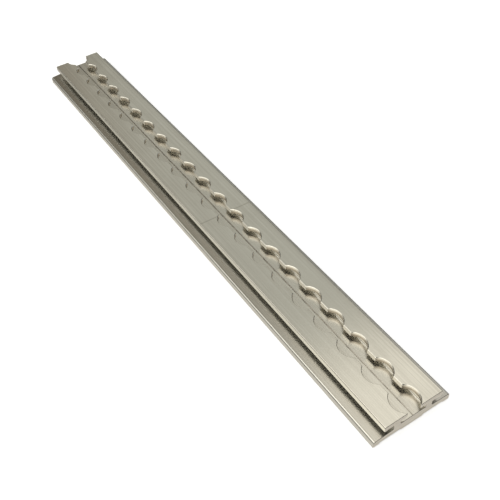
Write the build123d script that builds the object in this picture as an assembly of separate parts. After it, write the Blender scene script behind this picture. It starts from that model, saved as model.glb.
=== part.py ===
"""Scalloped floor track: one drilled aluminium extrusion for removable load and seat anchors.

The track lies along X with its underside on Z = 0 and its origin under the middle of its length.
Its cross-section lies in the YZ plane and is the same on both sides of the XZ plane. The near end
is sawn square, and the far end a few degrees out of square.
A wide base flange carries two upper plates. They overhang a T-slot in the middle and a groove on
each outer side. Round entry holes on a 25.4 mm pitch open the slot and leave its scalloped lips.
"""
from build123d import *
import math
import os

# ---------------------------------------------------------------- driving dimensions (mm)
LENGTH = 520.0              # sawn length of this piece, along its longer (right) edge
FAR_END_SKEW = 3.8          # degrees by which the far end's saw cut is out of square
BASE_WIDTH = 63.5           # over the two base flanges
HEIGHT = 15.5               # feet to top face
PLATES_WIDTH = 47.5         # over the two upper plates

# entry holes and slot
HOLE_PITCH = 25.4           # standard pitch of the anchor fittings
HOLE_DIAMETER = 20.6
SLOT_WIDTH = 11.1           # between the lips, between two holes
FIRST_HOLE_INSET = 9.2      # near end to the first hole's centre
FULL_HOLES = 20             # whole holes; one more hole is cut through by the far end
HOLE_DEPTH = 5.5            # the cutter passes the lips and stops clear of the channel floor
LIP_THICKNESS = 3.9
CHANNEL_WIDTH = 21.0        # inside the T-slot, under the lips
CHANNEL_FLOOR = 8.7         # height of the T-slot's floor
CENTRE_LINE_WIDTH = 1.2     # small V that marks the middle of the floor
CENTRE_LINE_DEPTH = 0.2

# outer grooves, between the upper plates and the base flanges
GROOVE_WALL = 15.7          # distance of each groove's inner wall from the middle
GROOVE_ROOF = 11.2
GROOVE_FLOOR = 6.8          # flange height at the foot of the inner wall
BEAD_WIDTH = 2.2            # thicker outer rim of each upper plate
BEAD_BOTTOM = 10.6
BEAD_SLOPE = 0.8            # width of the slope from the bead up to the groove's roof
FLANGE_EDGE_TOP = 5.6       # the flange top falls outwards from GROOVE_FLOOR to this height

# underside: a broad middle foot and a narrow foot along each edge
RECESS_DEPTH = 1.2
MIDDLE_FOOT_HALF = 9.0
EDGE_FOOT_WIDTH = 5.2

# edge rounding
PLATE_CORNER_RADIUS = 0.9
BEAD_CORNER_RADIUS = 0.6
FLANGE_CORNER_RADIUS = 1.7
FOOT_CORNER_RADIUS = 0.5
GROOVE_CORNER_RADIUS = 1.1
CHANNEL_CORNER_RADIUS = 0.7
EDGE_BREAK = 0.4            # deburred edge of the slot and of the entry holes

# ---------------------------------------------------------------- derived positions (mm)
NEAR_END = LENGTH / 2
FAR_END = -LENGTH / 2
FIRST_HOLE_X = NEAR_END - FIRST_HOLE_INSET
HALF_BASE = BASE_WIDTH / 2
HALF_PLATES = PLATES_WIDTH / 2
HALF_SLOT = SLOT_WIDTH / 2
HALF_CHANNEL = CHANNEL_WIDTH / 2
LIP_UNDERSIDE = HEIGHT - LIP_THICKNESS
HOLE_X = [FIRST_HOLE_X - HOLE_PITCH * n for n in range(FULL_HOLES + 1)]


def half_outline():
    """Corners of the right half, from the middle of the floor round to the middle of the foot.

    Each entry is ((y, z), radius), and a radius of 0 keeps the corner sharp.
    """
    bead_inner = HALF_PLATES - BEAD_WIDTH
    edge_foot_inner = HALF_BASE - EDGE_FOOT_WIDTH
    return [
        ((0, CHANNEL_FLOOR - CENTRE_LINE_DEPTH), 0),
        ((CENTRE_LINE_WIDTH / 2, CHANNEL_FLOOR), 0),
        ((HALF_CHANNEL, CHANNEL_FLOOR), CHANNEL_CORNER_RADIUS),
        ((HALF_CHANNEL, LIP_UNDERSIDE), CHANNEL_CORNER_RADIUS),
        ((HALF_SLOT, LIP_UNDERSIDE), 0),
        ((HALF_SLOT, HEIGHT - EDGE_BREAK), 0),
        ((HALF_SLOT + EDGE_BREAK, HEIGHT), 0),
        ((HALF_PLATES, HEIGHT), PLATE_CORNER_RADIUS),
        ((HALF_PLATES, BEAD_BOTTOM), BEAD_CORNER_RADIUS),
        ((bead_inner, BEAD_BOTTOM), 0),
        ((bead_inner - BEAD_SLOPE, GROOVE_ROOF), 0),
        ((GROOVE_WALL, GROOVE_ROOF), GROOVE_CORNER_RADIUS),
        ((GROOVE_WALL, GROOVE_FLOOR), GROOVE_CORNER_RADIUS),
        ((HALF_BASE, FLANGE_EDGE_TOP), FLANGE_CORNER_RADIUS),
        ((HALF_BASE, 0), FOOT_CORNER_RADIUS),
        ((edge_foot_inner, 0), FOOT_CORNER_RADIUS),
        ((edge_foot_inner - RECESS_DEPTH / 2, RECESS_DEPTH), 0),
        ((MIDDLE_FOOT_HALF + RECESS_DEPTH / 2, RECESS_DEPTH), 0),
        ((MIDDLE_FOOT_HALF, 0), FOOT_CORNER_RADIUS),
        ((0, 0), 0),
    ]


def whole_outline():
    """The half outline and its mirror image, as one closed run of rounded corners."""
    right = half_outline()
    left = [((-y, z), radius) for (y, z), radius in reversed(right[1:-1])]
    return right + left


def rounded(before, corner, after, radius):
    """Ends of the arc of that radius that rounds a corner, or the corner itself twice."""
    if radius == 0:
        return corner, corner
    to_before = (before - corner).normalized()
    to_after = (after - corner).normalized()
    reach = radius / math.tan(math.radians(to_before.get_angle(to_after)) / 2)
    return corner + to_before * reach, corner + to_after * reach


def cross_section():
    """The whole cross-section as a face in the YZ plane at the far end."""
    plane = Plane(origin=(FAR_END, 0, 0), x_dir=(0, 1, 0), z_dir=(1, 0, 0))
    corners = [(plane.from_local_coords(Vector(y, z, 0)), radius) for (y, z), radius in whole_outline()]
    count = len(corners)
    spans = [
        rounded(corners[index - 1][0], corners[index][0], corners[(index + 1) % count][0], corners[index][1])
        for index in range(count)
    ]
    edges = []
    for index, (arc_start, arc_end) in enumerate(spans):
        line_start = spans[index - 1][1]
        edges.append(Line(line_start, arc_start))
        if corners[index][1] > 0:
            edges.append(TangentArc(arc_start, arc_end, tangent=arc_start - line_start))
    return Face(Wire(edges))


def entry_hole(x):
    """Cutters for one entry hole: a drill through the lips and a deburring cone at the top."""
    radius = HOLE_DIAMETER / 2
    upright = (Align.CENTER, Align.CENTER, Align.MIN)
    drill = Cylinder(radius, 2 * HOLE_DEPTH, align=upright)
    deburr = Cone(radius, radius + 2 * EDGE_BREAK, 2 * EDGE_BREAK, align=upright)
    return [Pos(x, 0, HEIGHT - HOLE_DEPTH) * drill, Pos(x, 0, HEIGHT - EDGE_BREAK) * deburr]


def far_end_waste():
    """What the slanting saw cut takes off: its face meets the right edge of the base at the far end."""
    size = 2 * BASE_WIDTH
    block = Box(size, size, size, align=(Align.MAX, Align.CENTER, Align.CENTER))
    return Pos(FAR_END, HALF_BASE, 0) * Rot(0, 0, FAR_END_SKEW) * block


def track():
    """The finished extrusion: drawn to its section, sawn to length and drilled."""
    body = Solid.extrude(cross_section(), Vector(LENGTH, 0, 0))
    cutters = [cutter for x in HOLE_X for cutter in entry_hole(x)]
    return body.cut(*cutters, far_end_waste())


os.makedirs("parts", exist_ok=True)
export_step(track(), "parts/track_extrusion.step")
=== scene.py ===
"""Looks of the scalloped floor track: a mill-finish aluminium extrusion, drilled and sawn to length.

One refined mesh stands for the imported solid. It follows the same cross-section and the same entry
holes, with finer arcs, broken drilled edges, bevelled sawn ends and the small knocks of handling.
The track's lengths are in millimetres, which MM turns into Blender's metres. The studio's lengths,
and the reliefs of the finishes, are in metres.
"""
import math

import bmesh
import bpy
from mathutils import Matrix, Vector


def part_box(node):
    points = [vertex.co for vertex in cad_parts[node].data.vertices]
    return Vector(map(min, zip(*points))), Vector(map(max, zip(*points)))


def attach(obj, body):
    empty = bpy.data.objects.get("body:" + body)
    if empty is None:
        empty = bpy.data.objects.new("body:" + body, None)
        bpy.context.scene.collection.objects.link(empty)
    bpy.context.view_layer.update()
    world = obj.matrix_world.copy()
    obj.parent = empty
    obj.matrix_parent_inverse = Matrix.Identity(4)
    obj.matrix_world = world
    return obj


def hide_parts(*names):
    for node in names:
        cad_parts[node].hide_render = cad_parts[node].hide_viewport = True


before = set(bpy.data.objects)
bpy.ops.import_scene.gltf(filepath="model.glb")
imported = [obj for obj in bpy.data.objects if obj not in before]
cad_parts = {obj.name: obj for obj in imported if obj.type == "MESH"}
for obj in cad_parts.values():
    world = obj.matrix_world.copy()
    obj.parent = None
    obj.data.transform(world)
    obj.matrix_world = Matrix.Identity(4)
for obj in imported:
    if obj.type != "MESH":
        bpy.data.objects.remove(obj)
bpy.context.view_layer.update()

MM = 0.001
NODE = "track_extrusion"

# ---------------------------------------------------------------- sizes that the frame gives (mm)
LOWEST, HIGHEST = (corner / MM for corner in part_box(NODE))
NEAR_END = HIGHEST.x
FAR_END = LOWEST.x
HALF_BASE = HIGHEST.y
HEIGHT = HIGHEST.z

# ---------------------------------------------------------------- the part's other dimensions (mm)
HOLE_PITCH = 25.4
HOLE_RADIUS = 10.3
FIRST_HOLE_INSET = 9.2
HOLE_COUNT = 21
HALF_SLOT = 5.55
HALF_PLATES = 23.75
LIP_UNDERSIDE = HEIGHT - 3.9
HALF_CHANNEL = 10.5
CHANNEL_FLOOR = 8.7
CENTRE_LINE_HALF = 0.6
CENTRE_LINE_DEPTH = 0.2
GROOVE_WALL = 15.7
GROOVE_ROOF = 11.2
GROOVE_FLOOR = 6.8
BEAD_WIDTH = 2.2
BEAD_BOTTOM = 10.6
BEAD_SLOPE = 0.8
FLANGE_EDGE_TOP = 5.6
RECESS_DEPTH = 1.2
MIDDLE_FOOT_HALF = 9.0
EDGE_FOOT_WIDTH = 5.2
PLATE_CORNER_RADIUS = 0.9
BEAD_CORNER_RADIUS = 0.6
FLANGE_CORNER_RADIUS = 1.7
FOOT_CORNER_RADIUS = 0.5
GROOVE_CORNER_RADIUS = 1.1
CHANNEL_CORNER_RADIUS = 0.7
RIM_BREAK = 0.4             # 45 degree edge break of the slot and the entry holes
END_BEVEL = 0.2             # softened edge of the sawn ends
FAR_END_SLANT = math.tan(math.radians(3.8))     # the far end's saw cut is 3.8 degrees out of square
SLANT_REACH = 14.0          # the last sections lean over this length to meet that cut

# ---------------------------------------------------------------- how finely the mesh is cut
STEPS_ROUND_HOLE = 56       # stations across one entry hole
STEPS_ON_LAND = 6           # stations on the straight lip between two holes
STEPS_ON_CORNER = 6         # facets of each rounded corner
STEPS_DOWN_WALL = 4         # from a lip's lower edge up to its broken edge
STEPS_ON_FLOOR = 4          # from the centre line to the corner of the channel's floor
STEPS_ON_LIP = 2            # across the lip's underside, and across the lip's top
STATIONS_PER_PITCH = 4      # where the rest of the section is cut as well
KNOCK_STATIONS = (-1, -0.5, 0, 0.5, 1)      # and round each knock, as shares of its reach
EDGE_ROUNDS = 6             # rounds of trial in which the leaning lip edge settles
LIP_BAND = 12.6             # the finely cut lip reaches this far from the middle
WALL_BAND = 10.2            # and this far down the channel wall
SMOOTH_ANGLE = math.radians(17)             # a sharper edge than this stays sharp
TINY = 0.001                # points nearer than this are one point
TOUCH = 0.01                # a face this near a limit lies on it
END_FACING = 0.9            # a sawn end's normal has more than this along the track
WALL_FACING = 0.3           # a drilled wall's normal has less than this upwards

HOLE_X = [NEAR_END - FIRST_HOLE_INSET - HOLE_PITCH * n for n in range(HOLE_COUNT)]

# Knocks in the edges: (place, reach, depth), each pressed in towards the body of the track.
KNOCKS = [
    ((259.6, -23.3, 15.3), 1.1, 0.22),
    ((150.0, -31.2, 5.3), 1.6, 0.18),
    ((-96.0, -31.4, 5.0), 1.3, 0.15),
    ((31.0, -23.6, 15.2), 1.0, 0.12),
    ((-180.0, 23.6, 15.2), 1.2, 0.14),
    ((84.0, 31.4, 5.2), 1.5, 0.18),
    ((-259.2, 21.5, 15.3), 1.2, 0.25),
]


# ================================================================ shape
def hole_reach(x, radius):
    """Distance from the middle line to a circle of that radius round the nearest hole, or 0."""
    gap = min(abs(x - centre) for centre in HOLE_X)
    if gap >= radius:
        return 0.0
    return math.sqrt(radius * radius - gap * gap)


def leant(x, across):
    """Where the section that starts at x stands: near the far end it leans to the slanting cut."""
    share = max(0.0, min(1.0, (FAR_END + SLANT_REACH - x) / SLANT_REACH))
    return x + share * FAR_END_SLANT * (HALF_BASE - across)


def lip_edge(x, side, grown):
    """Distance from the middle line to the scalloped lip, for the outline grown by that much."""
    edge = HALF_SLOT
    for _ in range(EDGE_ROUNDS):
        edge = max(HALF_SLOT + grown, hole_reach(leant(x, side * edge), HOLE_RADIUS + grown))
    return edge


def rounded_corner(before, corner, after, radius):
    """Points of the arc that rounds one corner, from the side of before to the side of after."""
    corner = Vector(corner)
    if radius == 0:
        return [corner]
    to_before = (Vector(before) - corner).normalized()
    to_after = (Vector(after) - corner).normalized()
    half_angle = to_before.angle(to_after) / 2
    centre = corner + (to_before + to_after).normalized() * (radius / math.sin(half_angle))
    first = corner + to_before * (radius / math.tan(half_angle)) - centre
    sweep = first.angle_signed(corner + to_after * (radius / math.tan(half_angle)) - centre)
    angles = [-sweep * step / STEPS_ON_CORNER for step in range(STEPS_ON_CORNER + 1)]
    return [centre + Matrix.Rotation(angle, 2) @ first for angle in angles]


def rounded_run(corners):
    """Points along a run of (corner, radius) pairs, whose first and last only give directions."""
    points = []
    for index in range(1, len(corners) - 1):
        corner, radius = corners[index]
        points += rounded_corner(corners[index - 1][0], corner, corners[index + 1][0], radius)
    return points


def spread(start, end, count):
    """The points strictly between two ends, evenly spaced."""
    start = Vector(start)
    end = Vector(end)
    return [start.lerp(end, step / count) for step in range(1, count)]


def floor_points():
    """From the middle of the channel's floor up to the finely cut part of its wall."""
    corners = [
        ((0, CHANNEL_FLOOR), 0),
        ((HALF_CHANNEL, CHANNEL_FLOOR), CHANNEL_CORNER_RADIUS),
        ((HALF_CHANNEL, LIP_UNDERSIDE), 0),
    ]
    middle = Vector((0, CHANNEL_FLOOR - CENTRE_LINE_DEPTH))
    shoulder = Vector((CENTRE_LINE_HALF, CHANNEL_FLOOR))
    corner = rounded_run(corners)
    return [middle, shoulder, *spread(shoulder, corner[0], STEPS_ON_FLOOR), *corner]


def lip_underside(edge):
    """From the channel's wall inwards to the lip's lower edge at that distance from the middle."""
    radius = CHANNEL_CORNER_RADIUS
    turn_y = HALF_CHANNEL - radius
    widest = math.acos(max(0.0, min(1.0, (edge - turn_y) / radius)))
    arc = []
    for step in range(STEPS_ON_CORNER + 1):
        angle = widest * step / STEPS_ON_CORNER
        across = turn_y + radius * math.cos(angle)
        arc.append(Vector((across, LIP_UNDERSIDE - radius + radius * math.sin(angle))))
    lower_edge = Vector((min(edge, arc[-1].x), arc[-1].y))
    return [*arc, *spread(arc[-1], lower_edge, STEPS_ON_LIP), lower_edge]


def lip_points(x, side):
    """The finely cut band: channel wall, lip underside, scalloped wall, broken edge and lip top."""
    edge = lip_edge(x, side, 0)
    underside = lip_underside(edge)
    wall_top = Vector((edge, HEIGHT - RIM_BREAK))
    wall = [*spread(underside[-1], wall_top, STEPS_DOWN_WALL), wall_top]
    rim = Vector((lip_edge(x, side, RIM_BREAK), HEIGHT))
    band_end = Vector((LIP_BAND, HEIGHT))
    top = [*spread(rim, band_end, STEPS_ON_LIP), band_end]
    return [Vector((HALF_CHANNEL, WALL_BAND)), *underside, *wall, rim, *top]


def outer_points():
    """From the plate's top, round the groove, the flange and the feet to the middle underneath."""
    bead_inner = HALF_PLATES - BEAD_WIDTH
    foot_inner = HALF_BASE - EDGE_FOOT_WIDTH
    corners = [
        ((LIP_BAND, HEIGHT), 0),
        ((HALF_PLATES, HEIGHT), PLATE_CORNER_RADIUS),
        ((HALF_PLATES, BEAD_BOTTOM), BEAD_CORNER_RADIUS),
        ((bead_inner, BEAD_BOTTOM), 0),
        ((bead_inner - BEAD_SLOPE, GROOVE_ROOF), 0),
        ((GROOVE_WALL, GROOVE_ROOF), GROOVE_CORNER_RADIUS),
        ((GROOVE_WALL, GROOVE_FLOOR), GROOVE_CORNER_RADIUS),
        ((HALF_BASE, FLANGE_EDGE_TOP), FLANGE_CORNER_RADIUS),
        ((HALF_BASE, 0), FOOT_CORNER_RADIUS),
        ((foot_inner, 0), FOOT_CORNER_RADIUS),
        ((foot_inner - RECESS_DEPTH / 2, RECESS_DEPTH), 0),
        ((MIDDLE_FOOT_HALF + RECESS_DEPTH / 2, RECESS_DEPTH), 0),
        ((MIDDLE_FOOT_HALF, 0), FOOT_CORNER_RADIUS),
        ((0, 0), 0),
    ]
    return [*rounded_run(corners), Vector((0, 0))]


FLOOR_POINTS = floor_points()
OUTER_POINTS = outer_points()
BAND_SIZE = len(lip_points(HOLE_X[0], 1))


def section(x):
    """The closed outline at x, as points in order: the right half, then the left half back."""
    right, left = ([*FLOOR_POINTS, *lip_points(x, side), *OUTER_POINTS] for side in (1, -1))
    return right + [Vector((-point.x, point.y)) for point in reversed(left[1:-1])]


def finely_cut():
    """For each point of the outline, whether it lies in the finely cut lip band."""
    right = [False] * len(FLOOR_POINTS) + [True] * BAND_SIZE + [False] * len(OUTER_POINTS)
    return right + list(reversed(right[1:-1]))


def cusp_reach(grown):
    """How far along the track from a hole's centre its outline, grown by that much, meets the slot's."""
    return math.sqrt((HOLE_RADIUS + grown) ** 2 - (HALF_SLOT + grown) ** 2)


def fine_stations():
    """Places along the track where the lips are cut: dense round each hole, sparse on the lands."""
    cusp_angle = math.acos(cusp_reach(0) / HOLE_RADIUS)
    scallop = math.pi - 2 * cusp_angle
    rim_cusp = cusp_reach(RIM_BREAK)
    land = HOLE_PITCH - 2 * rim_cusp
    places = {NEAR_END, NEAR_END - END_BEVEL, FAR_END, FAR_END + END_BEVEL}
    for centre in HOLE_X:
        for step in range(STEPS_ROUND_HOLE + 1):
            angle = cusp_angle + scallop * step / STEPS_ROUND_HOLE
            places.add(centre + HOLE_RADIUS * math.cos(angle))
        places |= {centre - rim_cusp, centre + rim_cusp}
        places |= {centre + rim_cusp + land * step / STEPS_ON_LAND for step in range(1, STEPS_ON_LAND)}
    return sorted(x for x in places if FAR_END <= x <= NEAR_END)


def nearest(places, x):
    """The number of the place nearest to x."""
    return min(range(len(places)), key=lambda number: abs(places[number] - x))


def coarse_stations(places):
    """The numbers of the few places where the rest of the section is cut as well."""
    wanted = [FAR_END, FAR_END + END_BEVEL, NEAR_END - END_BEVEL, NEAR_END]
    for centre in HOLE_X:
        wanted += [centre + HOLE_PITCH * step / STATIONS_PER_PITCH for step in range(STATIONS_PER_PITCH)]
    for (x, _, _), reach, _ in KNOCKS:
        wanted += [x + reach * share for share in KNOCK_STATIONS]
    return sorted({nearest(places, x) for x in wanted})


def shrunk(points, amount):
    """A closed outline moved inwards by that amount along its own normals."""
    moved = []
    count = len(points)
    for index, point in enumerate(points):
        others = [points[(index + step) % count] for step in range(1, count)]
        apart = [other for other in others if (other - point).length > TINY]
        along = (apart[0] - apart[-1]).normalized()
        moved.append(point + Vector((along.y, -along.x)) * amount)
    return moved


def outline_rings(mesh, places, fine, coarse):
    """For each place, the vertices of its outline, with None for a point that isn't cut there."""
    rings = []
    for number, x in enumerate(places):
        points = section(x)
        if x in (NEAR_END, FAR_END):
            points = shrunk(points, END_BEVEL)
        ring = []
        for index, point in enumerate(points):
            kept = fine[index] or number in coarse
            place = knocked(Vector((leant(x, point.x), point.x, point.y))) * MM
            ring.append(mesh.verts.new(place) if kept else None)
        rings.append(ring)
    return rings


def skin(mesh, rings, fine, coarse):
    """Faces between neighbouring points of the outline, from ring to ring."""
    count = len(fine)
    for index in range(count):
        following = (index + 1) % count
        if fine[index] and fine[following]:
            steps = [(place, place + 1) for place in range(len(rings) - 1)]
        else:
            steps = list(zip(coarse, coarse[1:]))
        for start, end in steps:
            passed = rings[start:end + 1]
            lower = [ring[index] for ring in passed if ring[index]]
            upper = [ring[following] for ring in passed if ring[following]]
            mesh.faces.new(lower + list(reversed(upper)))


def knocked(point):
    """Where a point of the surface ends up after the knocks in the edges."""
    moved = Vector(point)
    for place, reach, depth in KNOCKS:
        gap = (point - Vector(place)).length / reach
        if gap < 1:
            inwards = Vector((0, -place[1], HEIGHT / 2 - place[2])).normalized()
            moved += inwards * depth * (1 - gap * gap) ** 2
    return moved


def finish_of(face):
    """Which of the FINISHES a face has: 0 as extruded, 1 drilled, 2 sawn, 3 deburred."""
    centre = face.calc_center_median() / MM
    across = abs(centre.y)
    is_end_cap = len(face.verts) > BAND_SIZE and abs(face.normal.x) > END_FACING
    is_upright = abs(face.normal.z) < WALL_FACING
    below_top = centre.z < HEIGHT - TOUCH
    within_hole = across < HOLE_RADIUS + RIM_BREAK
    clear_of_slot = across > HALF_SLOT + RIM_BREAK + TOUCH
    if is_end_cap:
        return 2
    if within_hole and below_top and centre.z > HEIGHT - RIM_BREAK:
        return 3
    in_lip = below_top and centre.z > LIP_UNDERSIDE - CHANNEL_CORNER_RADIUS
    return 1 if in_lip and clear_of_slot and within_hole and is_upright else 0


def track_mesh():
    """The track's surface as one closed mesh, with its sharp edges marked by angle."""
    places = fine_stations()
    coarse = coarse_stations(places)
    fine = finely_cut()
    mesh = bmesh.new()
    rings = outline_rings(mesh, places, fine, coarse)
    skin(mesh, rings, fine, coarse)
    mesh.faces.new(rings[0])
    mesh.faces.new(list(reversed(rings[-1])))
    bmesh.ops.remove_doubles(mesh, verts=mesh.verts, dist=2 * TINY * MM)
    bmesh.ops.recalc_face_normals(mesh, faces=mesh.faces)
    for edge in mesh.edges:
        edge.smooth = edge.calc_face_angle(0) < SMOOTH_ANGLE
    for face in mesh.faces:
        face.smooth = True
        face.material_index = finish_of(face)
    data = bpy.data.meshes.new("track")
    mesh.to_mesh(data)
    mesh.free()
    return data


# ================================================================ materials
# Each finish's two colours, which its noise blends between.
SKIN = (0.64, 0.62, 0.57, 1), (0.79, 0.775, 0.725, 1)
# painted shade: the skin's colours low down on the flanges, a little darker and cooler
LOW_SHADED_SKIN = (0.62, 0.615, 0.575, 1), (0.765, 0.76, 0.72, 1)
# the drilled metal's pale colours, left bright at the wall's top as a painted highlight
DRILLED = (0.74, 0.72, 0.67, 1), (0.88, 0.86, 0.81, 1)
# painted shade: the dark brown that the drilled walls fade into lower down
SHADED_DRILLED = (0.30, 0.265, 0.215, 1), (0.44, 0.40, 0.34, 1)
DEBURRED = (0.64, 0.62, 0.57, 1), (0.80, 0.785, 0.74, 1)
SAWN = (0.72, 0.69, 0.635, 1), (0.95, 0.925, 0.87, 1)
STUDIO_PAPER = (0.90, 0.90, 0.90, 1), (0.93, 0.93, 0.93, 1)

# The part of its noise's range that each finish spreads over those colours.
SKIN_TONES = 1.15, 1.95
DRILLED_TONES = 0.5, 1.0
DEBURRED_TONES = 0.3, 0.7
SAWN_TONES = 0.6, 1.3

LOW_SHADE_LEVEL = 8.0            # below this, on the flanges, the skin is painted a little darker and cooler, as painted shade
WALL_SHADE_LEVEL = HEIGHT - 1.1  # below this the drilled walls fade into painted shade, the shadow of the undercut under the lip
SCRIBED_X = 40.0            # a line scribed across both plates
SCRIBED_HALF = 0.9          # its width, faded out on each side
SCRIBED_COLOUR = (0.42, 0.40, 0.35, 1)
SCRATCH_SCALE = (70, 2600, 70)
SCRATCH_DARK = (0.50, 0.48, 0.43, 1)
SCRATCH_PALE = (0.90, 0.89, 0.85, 1)
FINE_RELIEF = 0.00002       # depth of the marks in the drawn and drilled surfaces
SAW_RELIEF = 0.00006


class Nodes:
    """Short ways to add and join the nodes of one tree."""

    def __init__(self, tree, coordinates):
        self.tree = tree
        self.place = self.add("ShaderNodeTexCoord").outputs[coordinates]

    def add(self, kind, inputs=None, **settings):
        """A new node with its inputs set to values or joined to sockets."""
        node = self.tree.nodes.new(kind)
        for key, value in settings.items():
            setattr(node, key, value)
        self.feed(node, inputs or {})
        return node

    def feed(self, node, inputs):
        """Sets a node's inputs to values or joins them to sockets."""
        for key, value in inputs.items():
            if isinstance(value, bpy.types.NodeSocket):
                self.tree.links.new(value, node.inputs[key])
            else:
                node.inputs[key].default_value = value

    def along(self, axis):
        """The place along one axis."""
        return self.add("ShaderNodeSeparateXYZ", {0: self.place}).outputs[axis]

    def arithmetic(self, operation, *values):
        """One sum, product or other operation on sockets and numbers."""
        return self.add("ShaderNodeMath", dict(enumerate(values)), operation=operation).outputs[0]

    def plus(self, first, second, weight):
        """first + second * weight."""
        return self.arithmetic("MULTIPLY_ADD", second, weight, first)

    def between(self, value, low, high, to_low, to_high, **settings):
        """A value's range turned into another range, kept within it."""
        inputs = {"Value": value, "From Min": low, "From Max": high, "To Min": to_low, "To Max": to_high}
        return self.add("ShaderNodeMapRange", inputs, **settings).outputs[0]


class Finish(Nodes):
    """One material, with the patterns that its surface is made of."""

    def __init__(self, name):
        self.material = bpy.data.materials.new(name)
        self.material.use_nodes = True
        super().__init__(self.material.node_tree, "Object")
        self.surface = self.tree.nodes["Principled BSDF"]

    def noise(self, scale, detail, roughness=0.55, turn=0):
        """Noise whose repeats per metre differ along x, y and z, after a turn about z."""
        place = self.place
        if turn:
            place = self.add("ShaderNodeMapping", {"Vector": place, "Rotation": (0, 0, turn)}).outputs[0]
        mapped = self.add("ShaderNodeMapping", {"Vector": place, "Scale": scale})
        inputs = {"Vector": mapped.outputs[0], "Scale": 1.0, "Detail": detail, "Roughness": roughness}
        return self.add("ShaderNodeTexNoise", inputs).outputs["Fac"]

    def blend(self, share, first, second):
        """A colour between two, by share."""
        inputs = {"Factor": share, 6: first, 7: second}
        return self.add("ShaderNodeMix", inputs, data_type="RGBA").outputs[2]

    def relief(self, height, strength, depth):
        """The surface's direction, tilted by a pattern of that depth."""
        inputs = {"Height": height, "Strength": strength, "Distance": depth}
        return self.add("ShaderNodeBump", inputs).outputs[0]

    def depth_below(self, height, reach):
        """0 above that height, rising to 1 at the given reach below it."""
        return self.between(self.along("Z"), (height - reach) * MM, height * MM, 1.0, 0.0)

    def scribed_line(self, place, half_width):
        """A faint line across the plates' tops at that x, fading to 0 on each side."""
        gap = self.arithmetic("ABSOLUTE", self.arithmetic("SUBTRACT", self.along("X"), place * MM))
        near = self.between(gap, 0.0, half_width * MM, 0.6, 0.0)
        top = self.between(self.along("Z"), (HEIGHT - 1) * MM, (HEIGHT - 0.5) * MM, 0.0, 1.0)
        return self.arithmetic("MULTIPLY", near, top)

    def scratches(self, turn, strength):
        """Sparse fine scratches that run at that angle to the track's length."""
        return self.between(self.noise(SCRATCH_SCALE, 1.0, 0.4, turn), 0.70, 0.80, 0.0, strength)

    def done(self, inputs):
        """The material, with its surface shader's inputs set or joined."""
        self.feed(self.surface, inputs)
        return self.material


def extruded_finish():
    """Mill-finish aluminium: lengthwise die lines, soft streaks, fine scratches, a scribed line and
    painted shade low down on the flanges.
    """
    finish = Finish("mill_finish_aluminium")
    fine_lines = finish.noise((9, 4200, 4200), 2.0)
    die_lines = finish.noise((2.5, 800, 800), 3.0)
    bands = finish.noise((1.2, 130, 130), 2.0)
    clouds = finish.noise((26, 60, 60), 4.0)
    lines = finish.plus(fine_lines, die_lines, 1.0)
    tone = finish.plus(finish.plus(lines, bands, 0.6), clouds, 0.5)
    share = finish.between(tone, *SKIN_TONES, 0.0, 1.0)
    # painted shade: low down, on the flanges, the skin turns a little darker and cooler
    low_shade = finish.depth_below(LOW_SHADE_LEVEL, 1.0)
    colour = finish.blend(low_shade, finish.blend(share, *SKIN), finish.blend(share, *LOW_SHADED_SKIN))
    colour = finish.blend(finish.scribed_line(SCRIBED_X, SCRIBED_HALF), colour, SCRIBED_COLOUR)
    colour = finish.blend(finish.scratches(0.9, 0.30), colour, SCRATCH_DARK)
    colour = finish.blend(finish.scratches(-0.6, 0.45), colour, SCRATCH_PALE)
    worn = finish.between(tone, *SKIN_TONES, 0.25, 0.17)
    return finish.done({
        "Base Color": colour,
        "Metallic": 1.0,
        "Roughness": finish.plus(worn, finish.depth_below(LIP_UNDERSIDE, 2.0), 0.05),
        "Normal": finish.relief(finish.plus(fine_lines, die_lines, 1.6), 0.25, FINE_RELIEF),
    })


def drilled_finish():
    """The wall that the drill left: fine rings round the hole, with a painted highlight above and
    painted shade below.
    """
    finish = Finish("drilled_aluminium")
    rings = finish.noise((160, 160, 5200), 2.0)
    chatter = finish.noise((600, 600, 120), 2.0)
    tone = finish.plus(rings, chatter, 0.5)
    share = finish.between(tone, *DRILLED_TONES, 0.0, 1.0)
    # painted shade: the walls darken towards the bottom, under the lip, below a painted highlight at
    # their top
    wall_shade = finish.depth_below(WALL_SHADE_LEVEL, 1.5)
    return finish.done({
        "Base Color": finish.blend(wall_shade, finish.blend(share, *DRILLED), finish.blend(share, *SHADED_DRILLED)),
        "Metallic": 1.0,
        "Roughness": finish.between(tone, *DRILLED_TONES, 0.38, 0.28),
        "Normal": finish.relief(tone, 0.3, FINE_RELIEF),
    })


def sawn_finish():
    """The sawn ends: straight blade marks across the section, crossed by a few deeper ones."""
    finish = Finish("sawn_aluminium")
    blade = finish.noise((10, 140, 2600), 3.0)
    deeper = finish.noise((10, 40, 700), 2.0)
    tone = finish.plus(blade, deeper, 0.9)
    share = finish.between(tone, *SAWN_TONES, 0.0, 1.0)
    return finish.done({
        "Base Color": finish.blend(share, *SAWN),
        "Metallic": 1.0,
        "Roughness": finish.between(tone, *SAWN_TONES, 0.46, 0.34),
        "Normal": finish.relief(tone, 0.6, SAW_RELIEF),
    })


def deburred_finish():
    """The scraped edge break along the slot and round the holes, nearly polished."""
    finish = Finish("deburred_aluminium")
    scraping = finish.noise((500, 500, 500), 2.0)
    return finish.done({
        "Base Color": finish.blend(scraping, *DEBURRED),
        "Metallic": 1.0,
        "Roughness": finish.between(scraping, *DEBURRED_TONES, 0.22, 0.12),
    })


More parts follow.
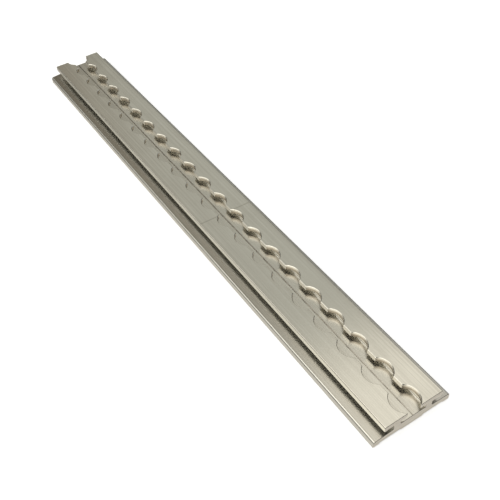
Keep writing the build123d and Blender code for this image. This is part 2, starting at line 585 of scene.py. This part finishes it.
def studio_finish():
    """The floor's pale matt paper, lit a little from within."""
    finish = Finish("floor")
    return finish.done({
        "Base Color": finish.blend(finish.noise((40, 40, 40), 3.0), *STUDIO_PAPER),
        "Roughness": 0.9,
        "Specular IOR Level": 0.1,
        "Emission Color": (0.90, 0.94, 1.0, 1),
        "Emission Strength": 0.55,
    })


FINISHES = [extruded_finish, drilled_finish, sawn_finish, deburred_finish]      # in finish_of's order


# ================================================================ the track
def track():
    """Makes the finished track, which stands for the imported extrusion."""
    data = track_mesh()
    for finish in FINISHES:
        data.materials.append(finish())
    piece = bpy.data.objects.new("track", data)
    bpy.context.scene.collection.objects.link(piece)
    weighted = piece.modifiers.new("weighted_normals", "WEIGHTED_NORMAL")
    weighted.keep_sharp = True
    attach(piece, "root")
    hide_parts(NODE)


# ================================================================ studio
FLOOR_HALF = 3.0
SOFTBOX_HEIGHT = 1.2
SOFTBOX_EDGE_X = -0.45      # towards the far end the softbox stops here, and the top faces darken
SOFTBOX_LENGTH = 1.7
SOFTBOX_WIDTH = 2.2
SOFTBOX_POWER = 6.3
SOFTBOX_TINT = (1.0, 0.93, 0.82)

# The room's colour across the track, as (how far to the right, from -1 to 1, colour).
ROOM_BANDS = [
    (-0.70, (1.55, 1.50, 1.35)),
    (-0.33, (1.00, 0.98, 0.89)),
    (-0.24, (0.66, 0.63, 0.56)),
    (-0.17, (0.09, 0.08, 0.065)),
    (0.12, (0.12, 0.102, 0.075)),
    (0.21, (0.33, 0.285, 0.22)),
    (0.29, (0.54, 0.54, 0.48)),
    (0.50, (0.54, 0.54, 0.48)),
    (0.58, (0.16, 0.145, 0.125)),
    (1.00, (1.00, 1.00, 1.00)),
]
# Each of these is (from, to, brightness at from, brightness at to) along one axis of the room.
CAMERA_SIDE = (0.50, 0.75, 1.0, 0.06)       # towards +X the walls are dim
HORIZON = (0.28, 0.48, 0.15, 1.0)           # upwards they brighten
GROUND = (-0.55, -0.25, 0.60, 0.0)          # what the metal reflects from below
GROUND_TINT = (1.0, 0.94, 0.84)

CAMERA_PLACE = Vector((0.40608, -0.20514, 0.38903))
CAMERA_TARGET = Vector((0.0866, -0.0070, 0.0155))
CAMERA_ROLL = math.radians(-2.17)
CAMERA_LENS = 50.29
CAMERA_SENSOR = 36.0


def studio_floor():
    """Makes a wide pale floor under the track's feet, which the metal doesn't reflect."""
    mesh = bmesh.new()
    bmesh.ops.create_grid(mesh, x_segments=12, y_segments=12, size=FLOOR_HALF)
    data = bpy.data.meshes.new("floor")
    mesh.to_mesh(data)
    mesh.free()
    data.materials.append(studio_finish())
    floor = bpy.data.objects.new("floor", data)
    bpy.context.scene.collection.objects.link(floor)
    floor.visible_glossy = False


def softbox():
    """Makes one large soft light overhead, which points straight down."""
    data = bpy.data.lights.new("overhead", "AREA")
    data.shape = "RECTANGLE"
    data.size = SOFTBOX_LENGTH
    data.size_y = SOFTBOX_WIDTH
    data.energy = SOFTBOX_POWER
    data.color = SOFTBOX_TINT
    light = bpy.data.objects.new("overhead", data)
    light.location = (SOFTBOX_EDGE_X + SOFTBOX_LENGTH / 2, 0, SOFTBOX_HEIGHT)
    light.rotation_euler = Vector((0, 0, -SOFTBOX_HEIGHT)).to_track_quat("-Z", "Y").to_euler()
    bpy.context.scene.collection.objects.link(light)


def room():
    """Makes the room's soft light: banded walls, dim at the camera's side, and the ground."""
    world = bpy.data.worlds.new("room")
    world.use_nodes = True
    nodes = Nodes(world.node_tree, "Generated")

    def shade(axis, limits):
        """A smooth change of brightness along one axis of the room."""
        return nodes.between(nodes.along(axis), *limits, interpolation_type="SMOOTHSTEP")

    def lit(colour, brightness):
        """A colour times a brightness."""
        scaled = nodes.add("ShaderNodeVectorMath", operation="SCALE")
        nodes.feed(scaled, {0: colour, "Scale": brightness})
        return scaled.outputs[0]

    across = nodes.between(nodes.along("Y"), -1.0, 1.0, 0.0, 1.0)
    ramp = nodes.add("ShaderNodeValToRGB", {0: across})
    bands = ramp.color_ramp.elements
    for side, _ in ROOM_BANDS[1:-1]:
        bands.new((side + 1) / 2)
    for band, (side, colour) in zip(bands, ROOM_BANDS):
        band.position = (side + 1) / 2
        band.color = (*colour, 1)
    dimmer = nodes.arithmetic("MULTIPLY", shade("X", CAMERA_SIDE), shade("Z", HORIZON))
    walls = lit(ramp.outputs[0], dimmer)
    ground = lit(GROUND_TINT, shade("Z", GROUND))
    whole = nodes.add("ShaderNodeVectorMath", {0: walls, 1: ground}, operation="ADD")
    nodes.feed(nodes.tree.nodes["Background"], {"Color": whole.outputs[0]})
    bpy.context.scene.world = world


def camera():
    """Makes the camera, at the angle that the track is seen from."""
    data = bpy.data.cameras.new("camera")
    data.lens = CAMERA_LENS
    data.sensor_width = CAMERA_SENSOR
    seen_from = bpy.data.objects.new("camera", data)
    bpy.context.scene.collection.objects.link(seen_from)
    aim = (CAMERA_TARGET - CAMERA_PLACE).to_track_quat("-Z", "Y").to_matrix().to_4x4()
    roll = Matrix.Rotation(CAMERA_ROLL, 4, "Z")
    seen_from.matrix_world = Matrix.Translation(CAMERA_PLACE) @ aim @ roll
    bpy.context.scene.camera = seen_from


track()
studio_floor()
room()
softbox()
camera()
bpy.context.scene.view_settings.view_transform = "Standard"
